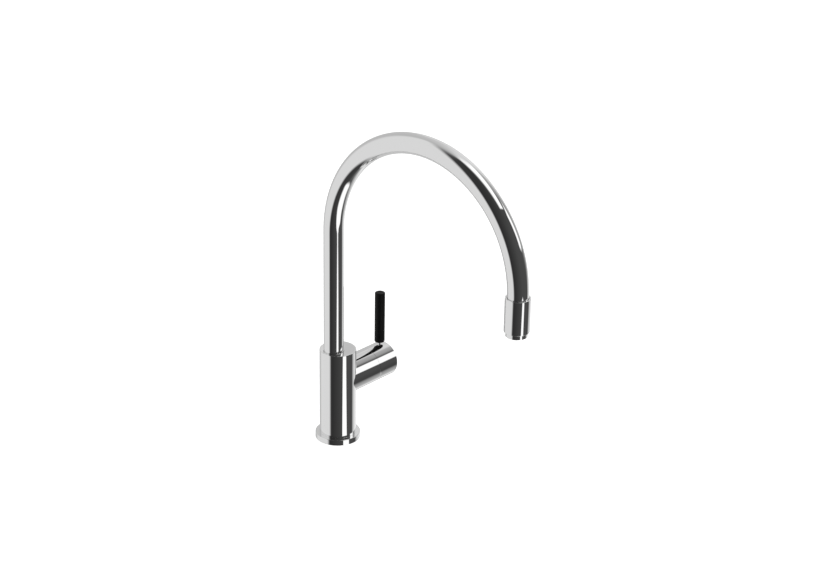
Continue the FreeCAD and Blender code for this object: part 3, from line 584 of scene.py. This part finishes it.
# ---------------------------------------------------------------- shape helpers
def rounded(corners):
    """
    Points of a closed outline; a corner is (across, along) or (across, along, rounding).
    A point just outside each end of a rounding keeps the flat beside it shaded flat.
    """
    count = len(corners)
    beside = 0.15
    points = []
    for i, corner in enumerate(corners):
        here = Vector(corner[:2])
        back = (Vector(corners[i - 1][:2]) - here).normalized()
        ahead = (Vector(corners[(i + 1) % count][:2]) - here).normalized()
        radius = corner[2] if len(corner) > 2 else 0.0
        if radius == 0.0:
            points.append(here)
            continue
        half = back.angle(ahead) / 2
        reach = radius / math.tan(half)
        centre = here + (back + ahead).normalized() * (radius / math.sin(half))
        start = here + back * reach - centre
        end = here + ahead * reach - centre
        sweep = start.angle_signed(end)
        steps = max(2, math.ceil(abs(sweep) / ARC_STEP))
        near = beside * radius
        points.append(centre + start + back * near)
        for k in range(steps + 1):
            points.append(centre + Matrix.Rotation(-sweep * k / steps, 2) @ start)
        points.append(centre + end + ahead * near)
    return points


def shell(rings):
    """Closed surface through rings of points; the last ring is joined to the first."""
    same_place = 1e-7
    no_area = 1e-8
    around = len(rings[0])
    mesh = bmesh.new()
    made = [[mesh.verts.new(point) for point in ring] for ring in rings]
    for i, ring in enumerate(made):
        following = made[(i + 1) % len(made)]
        for k in range(around):
            j = (k + 1) % around
            mesh.faces.new((ring[k], ring[j], following[j], following[k]))
    bmesh.ops.remove_doubles(mesh, verts=mesh.verts, dist=same_place)
    bmesh.ops.dissolve_degenerate(mesh, edges=mesh.edges, dist=no_area)
    unused = [edge for edge in mesh.edges if not edge.link_faces]
    bmesh.ops.delete(mesh, geom=unused, context="EDGES")
    bmesh.ops.recalc_face_normals(mesh, faces=mesh.faces)
    return mesh


def loose(name, mesh):
    """Object from a bmesh, with nothing else set."""
    data = bpy.data.meshes.new(name)
    mesh.to_mesh(data)
    mesh.free()
    made = bpy.data.objects.new(name, data)
    bpy.context.scene.collection.objects.link(made)
    return made


def pierced(mesh, radius, start, end):
    """The same surface with a round hole through it from start to end."""
    axis = end - start
    aim = axis.to_track_quat("Z", "Y").to_matrix().to_4x4()
    place = Matrix.Translation((start + end) / 2) @ aim
    facets = 48
    rod = bmesh.new()
    bmesh.ops.create_cone(
        rod, cap_ends=True, segments=facets, radius1=radius, radius2=radius,
        depth=axis.length, matrix=place,
    )
    whole = loose("whole", mesh)
    cutter = loose("cutter", rod)
    cut = whole.modifiers.new("cut", "BOOLEAN")
    cut.operation = "DIFFERENCE"
    cut.solver = "EXACT"
    cut.object = cutter
    bpy.context.view_layer.update()
    result = bmesh.new()
    result.from_object(whole, bpy.context.evaluated_depsgraph_get())
    # Each object goes with its mesh.
    for used in (whole, cutter):
        bpy.data.meshes.remove(used.data)
    return result


def piece(name, mesh, body, material, *nodes):
    """Object from a bmesh, smooth except at its crisp edges, that stands for the CAD nodes named."""
    made = loose(name, mesh)
    data = made.data
    data.polygons.foreach_set("use_smooth", [True] * len(data.polygons))
    data.set_sharp_from_angle(angle=SHARP)
    data.materials.append(MATERIALS[material])
    if body:
        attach(made, body)
    if nodes:
        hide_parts(*nodes)
    return made


def skin(name, rings, body, material, *nodes):
    """A piece made straight from rings of points."""
    return piece(name, shell(rings), body, material, *nodes)


def ring_z(radius, z, x=0.0, y=0.0):
    """Level ring about an upright axis."""
    turns = [2 * math.pi * k / AROUND for k in range(AROUND)]
    return [Vector((x + radius * math.cos(t), y + radius * math.sin(t), z)) for t in turns]


def turned_z(name, corners, x, y, body, material, *nodes):
    """Surface of revolution about an upright axis; corners are (radius, z[, rounding])."""
    rings = [ring_z(radius, z, x, y) for radius, z in rounded(corners)]
    return skin(name, rings, body, material, *nodes)


def ring_x(radius, start, reach=None):
    """Ring about the barrel's axis. reach(y, z), where given, moves each point along X."""
    points = []
    for k in range(AROUND):
        turn = 2 * math.pi * k / AROUND
        y = radius * math.cos(turn)
        z = radius * math.sin(turn)
        x = start if reach is None else reach(y, z)
        points.append(Vector((x, y, barrel_z + z)))
    return points


# ---------------------------------------------------------------- pieces
EDGE = 0.4 * MM              # rounding of the chromed edges
FINE_EDGE = 0.2 * MM
LIP = 0.05 * MM              # edges of the lever's turning joint
PAST = 1.0 * MM              # how far a drill runs past the surface


def base_flange():
    """Flange with the gasket's groove underneath."""
    clearance = 0.2 * MM
    inner = shank_r + clearance
    groove_out = extent("base_gasket", 0)[1]
    groove_top = extent("base_gasket", 2)[1]
    corners = [
        (inner, 0),
        (GASKET_IN_R, 0),
        (GASKET_IN_R, groove_top),
        (groove_out, groove_top),
        (groove_out, 0),
        (flange_r, 0, FINE_EDGE),
        (flange_r, flange_h, EDGE),
        (inner, flange_h),
    ]
    turned_z("base_flange_skin", corners, 0, 0, "root", "chrome", "base_flange")


def threaded_shank():
    """Hollow shank with a cut thread, broken near its free end by a relief groove."""
    pitch = 2.0 * MM
    depth = 0.7 * MM
    chamfer = 0.8 * MM
    relief_low = -52.8 * MM
    relief_high = -51.8 * MM
    levels_per_turn = 12
    length = shank_high - shank_low
    count = round(length / pitch * levels_per_turn)
    rings = [ring_z(SHANK_BORE_R, shank_high), ring_z(SHANK_BORE_R, shank_low)]
    for i in range(count + 1):
        z = shank_low + length * i / count
        cut = max(0, chamfer - (z - shank_low))
        if relief_low < z < relief_high:
            cut = depth
        points = []
        for k in range(AROUND):
            turn = k / AROUND
            groove = depth * (0.5 - 0.5 * math.cos(2 * math.pi * (z / pitch - turn)))
            radius = shank_r - max(cut, groove)
            points.append(Vector((
                radius * math.cos(2 * math.pi * turn),
                radius * math.sin(2 * math.pi * turn),
                z,
            )))
        rings.append(points)
    skin("threaded_shank_skin", rings, "root", "brass", "threaded_shank")


def body_shell():
    """Upright body; its top is pierced off-centre for the spout."""
    clearance = 0.12 * MM
    hole_r = tube_r + clearance
    outside = rounded([
        (BODY_BORE_R, flange_h),
        (body_r, flange_h, FINE_EDGE),
        (body_r, body_top, EDGE),
        (tube_r, body_top),
    ])
    # The last corner only aims the rounding before it; the hole's softened rim comes there.
    rings = [ring_z(radius, z) for radius, z in outside[:-1]]
    rim = ((0.25 * MM, 0), (0.08 * MM, 0.07 * MM), (0, 0.25 * MM))
    rings += [ring_z(hole_r + outward, body_top - down, spout_x) for outward, down in rim]
    rings.append(ring_z(hole_r, tube_foot_z, spout_x))
    rings.append(ring_z(BODY_BORE_R, tube_foot_z))

    screw_z, screw_r = round_extent("swivel_stop_screw", 2)
    inner_end = Vector((spout_x, BODY_BORE_R / 2, screw_z))
    outer_end = Vector((spout_x, body_r + PAST, screw_z))
    mesh = pierced(shell(rings), screw_r, inner_end, outer_end)
    piece("body_skin", mesh, "root", "chrome", "body_shell")


def spout_tube():
    """High half-circle tube, open at both ends."""
    upright_steps = 12
    arc_steps = 180
    path = []
    for i in range(upright_steps):
        z = tube_foot_z + (arc_z - tube_foot_z) * i / upright_steps
        path.append((Vector((spout_x, 0, z)), 0.0))
    for i in range(arc_steps + 1):
        turn = math.pi * i / arc_steps
        y = -arc_r * (1 - math.cos(turn))
        z = arc_z + arc_r * math.sin(turn)
        path.append((Vector((spout_x, y, z)), turn))
    path.append((Vector((spout_x, outlet_y, mouth_z)), math.pi))

    def section(centre, turn, radius):
        """Ring square to the tube's centre line."""
        across = Vector((1, 0, 0))
        outward = Vector((0, math.cos(turn), math.sin(turn)))
        points = []
        for k in range(AROUND):
            t = 2 * math.pi * k / AROUND
            points.append(centre + (across * math.cos(t) + outward * math.sin(t)) * radius)
        return points

    rings = [section(centre, turn, tube_r) for centre, turn in path]
    bore_r = tube_r - TUBE_WALL
    rings += [section(centre, turn, bore_r) for centre, turn in reversed(path)]
    skin("spout_skin", rings, "spout", "chrome", "spout_tube")


def head_shell():
    """Cylindrical spray head, with a collar that the spout's mouth sits in."""
    side_gap = 0.3 * MM
    end_gap = 0.4 * MM
    collar_r = tube_r + side_gap
    collar_floor = mouth_z - end_gap
    corners = [
        (HEAD_BORE_R, head_bottom),
        (head_r, head_bottom, EDGE),
        (head_r, head_top, EDGE),
        (collar_r, head_top, FINE_EDGE),
        (collar_r, collar_floor),
        (HEAD_BORE_R, collar_floor),
    ]
    turned_z("head_skin", corners, spout_x, outlet_y, "spray_head", "chrome", "head_shell")


def aerator_ring():
    """Ring under the head, with a ledge inside that holds the flow straightener."""
    ledge_h = 1.5 * MM
    ledge_w = 1.0 * MM
    seat_z = ring_bottom + ledge_h
    seat_r = AERATOR_BORE_R + ledge_w
    corners = [
        (AERATOR_BORE_R, ring_bottom, EDGE),
        (ring_r, ring_bottom, EDGE),
        (ring_r, head_bottom),
        (seat_r, head_bottom),
        (seat_r, seat_z),
        (AERATOR_BORE_R, seat_z),
    ]
    turned_z("aerator_ring_skin", corners, spout_x, outlet_y, "spray_head", "chrome", "aerator_ring")


def barrel_housing():
    """Fixed half of the barrel, saddled onto the round body."""
    bore_r = barrel_r - HOUSING_WALL
    sunk = 0.3 * MM

    def saddle(y, z):
        """A little inside the body's round wall."""
        return math.sqrt(max(body_r ** 2 - y ** 2, 0)) - sunk

    rings = [
        ring_x(bore_r, 0, saddle),
        ring_x(barrel_r, 0, saddle),
        ring_x(barrel_r, seam_x - 3 * LIP),
        ring_x(barrel_r, seam_x - LIP),
        ring_x(barrel_r - LIP, seam_x),
        ring_x(bore_r, seam_x),
    ]
    skin("barrel_skin", rings, "root", "chrome", "barrel_housing")


def dome_cover():
    """Ball-shaped cover in the barrel's mouth, seen in the wedge gap under the cap."""
    mouth = math.radians(27)    # half the spindle's opening, seen from the ball's centre
    skirt_start, mouth_x = extent("dome_cover", 0)
    _, skirt_r = round_extent("dome_cover", 2)
    outer_r = (mouth_x - pivot_x) / math.cos(mouth)
    steps = 10

    def arc(radius, rim):
        """Profile of the ball from its skirt to the opening."""
        start = math.asin(rim / radius)
        turns = [start + (mouth - start) * i / steps for i in range(steps + 1)]
        return [(radius * math.sin(t), pivot_x + radius * math.cos(t)) for t in turns]

    outside = arc(outer_r, skirt_r)
    within = arc(outer_r - DOME_WALL, skirt_r - DOME_WALL)
    profile = [
        (skirt_r, skirt_start),
        *outside,
        *reversed(within),
        (skirt_r - DOME_WALL, skirt_start),
    ]
    rings = [ring_x(radius, x) for radius, x in profile]
    skin("dome_skin", rings, "root", "chrome", "dome_cover")


def handle_cap():
    """Turning end of the barrel, cut back below so that it can tilt."""
    bore_r = barrel_r - CAP_WALL
    floor_x = cap_start + CAP_DEPTH
    gap = cap_start - seam_x
    spare_degrees = 0.5
    tilt = math.radians(tilt_range + spare_degrees)
    cut_x = pivot_x + (cap_start + gap - pivot_x) / math.cos(tilt)

    def start(inset):
        """The cap's edge: upright above the axis, leaning away from the seam below it."""
        return lambda y, z: max(cap_start, cut_x - z * math.tan(tilt)) + inset

    rings = [
        ring_x(0, floor_x),
        ring_x(bore_r, floor_x),
        ring_x(bore_r, 0, start(0)),
        ring_x(barrel_r - LIP, 0, start(0)),
        ring_x(barrel_r, 0, start(LIP)),
        ring_x(barrel_r, 0, start(3 * LIP)),
    ]
    end = rounded([(barrel_r, floor_x), (barrel_r, cap_end, EDGE), (0, cap_end)])
    rings += [ring_x(radius, x) for radius, x in end]

    screw_x, screw_r = round_extent("cap_grub_screw", 0)
    inner_end = Vector((screw_x, 0, barrel_z - bore_r / 2))
    outer_end = Vector((screw_x, 0, barrel_z - barrel_r - PAST))
    mesh = pierced(shell(rings), screw_r, inner_end, outer_end)
    piece("cap_skin", mesh, "lever", "chrome", "handle_cap")


def lever_stem():
    """Thin pin out of the cap."""
    corners = [
        (0, stem_bottom),
        (stem_r, stem_bottom, FINE_EDGE),
        (stem_r, stem_top, FINE_EDGE),
        (0, stem_top),
    ]
    turned_z("lever_stem_skin", corners, stem_x, 0, "lever", "chrome", "lever_stem")


def lever_grip():
    """Black sleeve over the pin, closed at the top."""
    rounding = 0.9 * MM
    corners = [
        (stem_r, grip_bottom),
        (grip_r, grip_bottom, rounding),
        (grip_r, grip_top, rounding),
        (0, grip_top),
        (0, stem_top),
        (stem_r, stem_top),
    ]
    turned_z("lever_grip_skin", corners, stem_x, 0, "lever", "black_grip", "lever_grip")


def hose_tail():
    """Hose between the spout's mouth and the ferrule; it pays out as the head is pulled down."""
    hollow_r = hose_r - HOSE_WALL
    steps = 24
    levels = [tail_low + (tail_high - tail_low) * i / steps for i in range(steps + 1)]
    rings = [ring_z(hose_r, z, spout_x, outlet_y) for z in levels]
    rings += [ring_z(hollow_r, z, spout_x, outlet_y) for z in reversed(levels)]
    tail = skin("hose_tail_skin", rings, None, "hose_braid", "hose_tail")
    outward = tail.data.attributes.new(OUTWARD, "FLOAT_VECTOR", "POINT")
    axis = Vector((spout_x, outlet_y, 0))
    for place, vertex in zip(outward.data, tail.data.vertices):
        place.vector = vertex.co - axis
    tail.data.materials[0] = hose_braid("hose_tail_braid", marked=True)
    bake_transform(tail)


def check_valve_spring():
    """Coil under the check valve's poppet; it shortens as the valve opens."""
    _, outer_r = round_extent("check_valve_spring", 0)
    low_z, high_z = extent("check_valve_spring", 2)
    coil_r = outer_r - SPRING_WIRE_R
    turns = 2.5
    steps = 80
    facets = 12
    first = Vector((spout_x, outlet_y, low_z + SPRING_WIRE_R))
    rise = high_z - low_z - 2 * SPRING_WIRE_R
    up = Vector((0, 0, 1))
    centres = []
    rings = []
    for i in range(steps + 1):
        turn = 2 * math.pi * turns * i / steps
        outward = Vector((math.cos(turn), math.sin(turn), 0))
        centre = first + outward * coil_r + up * (rise * i / steps)
        centres.append(centre)
        ring = []
        for k in range(facets):
            t = 2 * math.pi * k / facets
            ring.append(centre + (outward * math.cos(t) + up * math.sin(t)) * SPRING_WIRE_R)
        rings.append(ring)
    closed = [[centres[0]] * facets, *rings, [centres[-1]] * facets]
    spring = skin("check_valve_spring_skin", closed, None, "steel", "check_valve_spring")
    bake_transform(spring)


camera()
studio_world()
floor()

bpy.context.scene.view_settings.view_transform = "Standard"
bpy.context.scene.view_settings.look = "None"

base_flange()
threaded_shank()
body_shell()
spout_tube()
head_shell()
aerator_ring()
barrel_housing()
dome_cover()
handle_cap()
lever_stem()
lever_grip()
hose_tail()
check_valve_spring()

# The pieces inside keep their CAD shapes, in the material that the record names for each.
node_slots = {entry["node"]: entry["material_slot"] for entry in frame["record"]["subparts"]}
for name, node in frame["nodes"].items():
    for slot in node.material_slots:
        slot.material = MATERIALS[node_slots[name]]
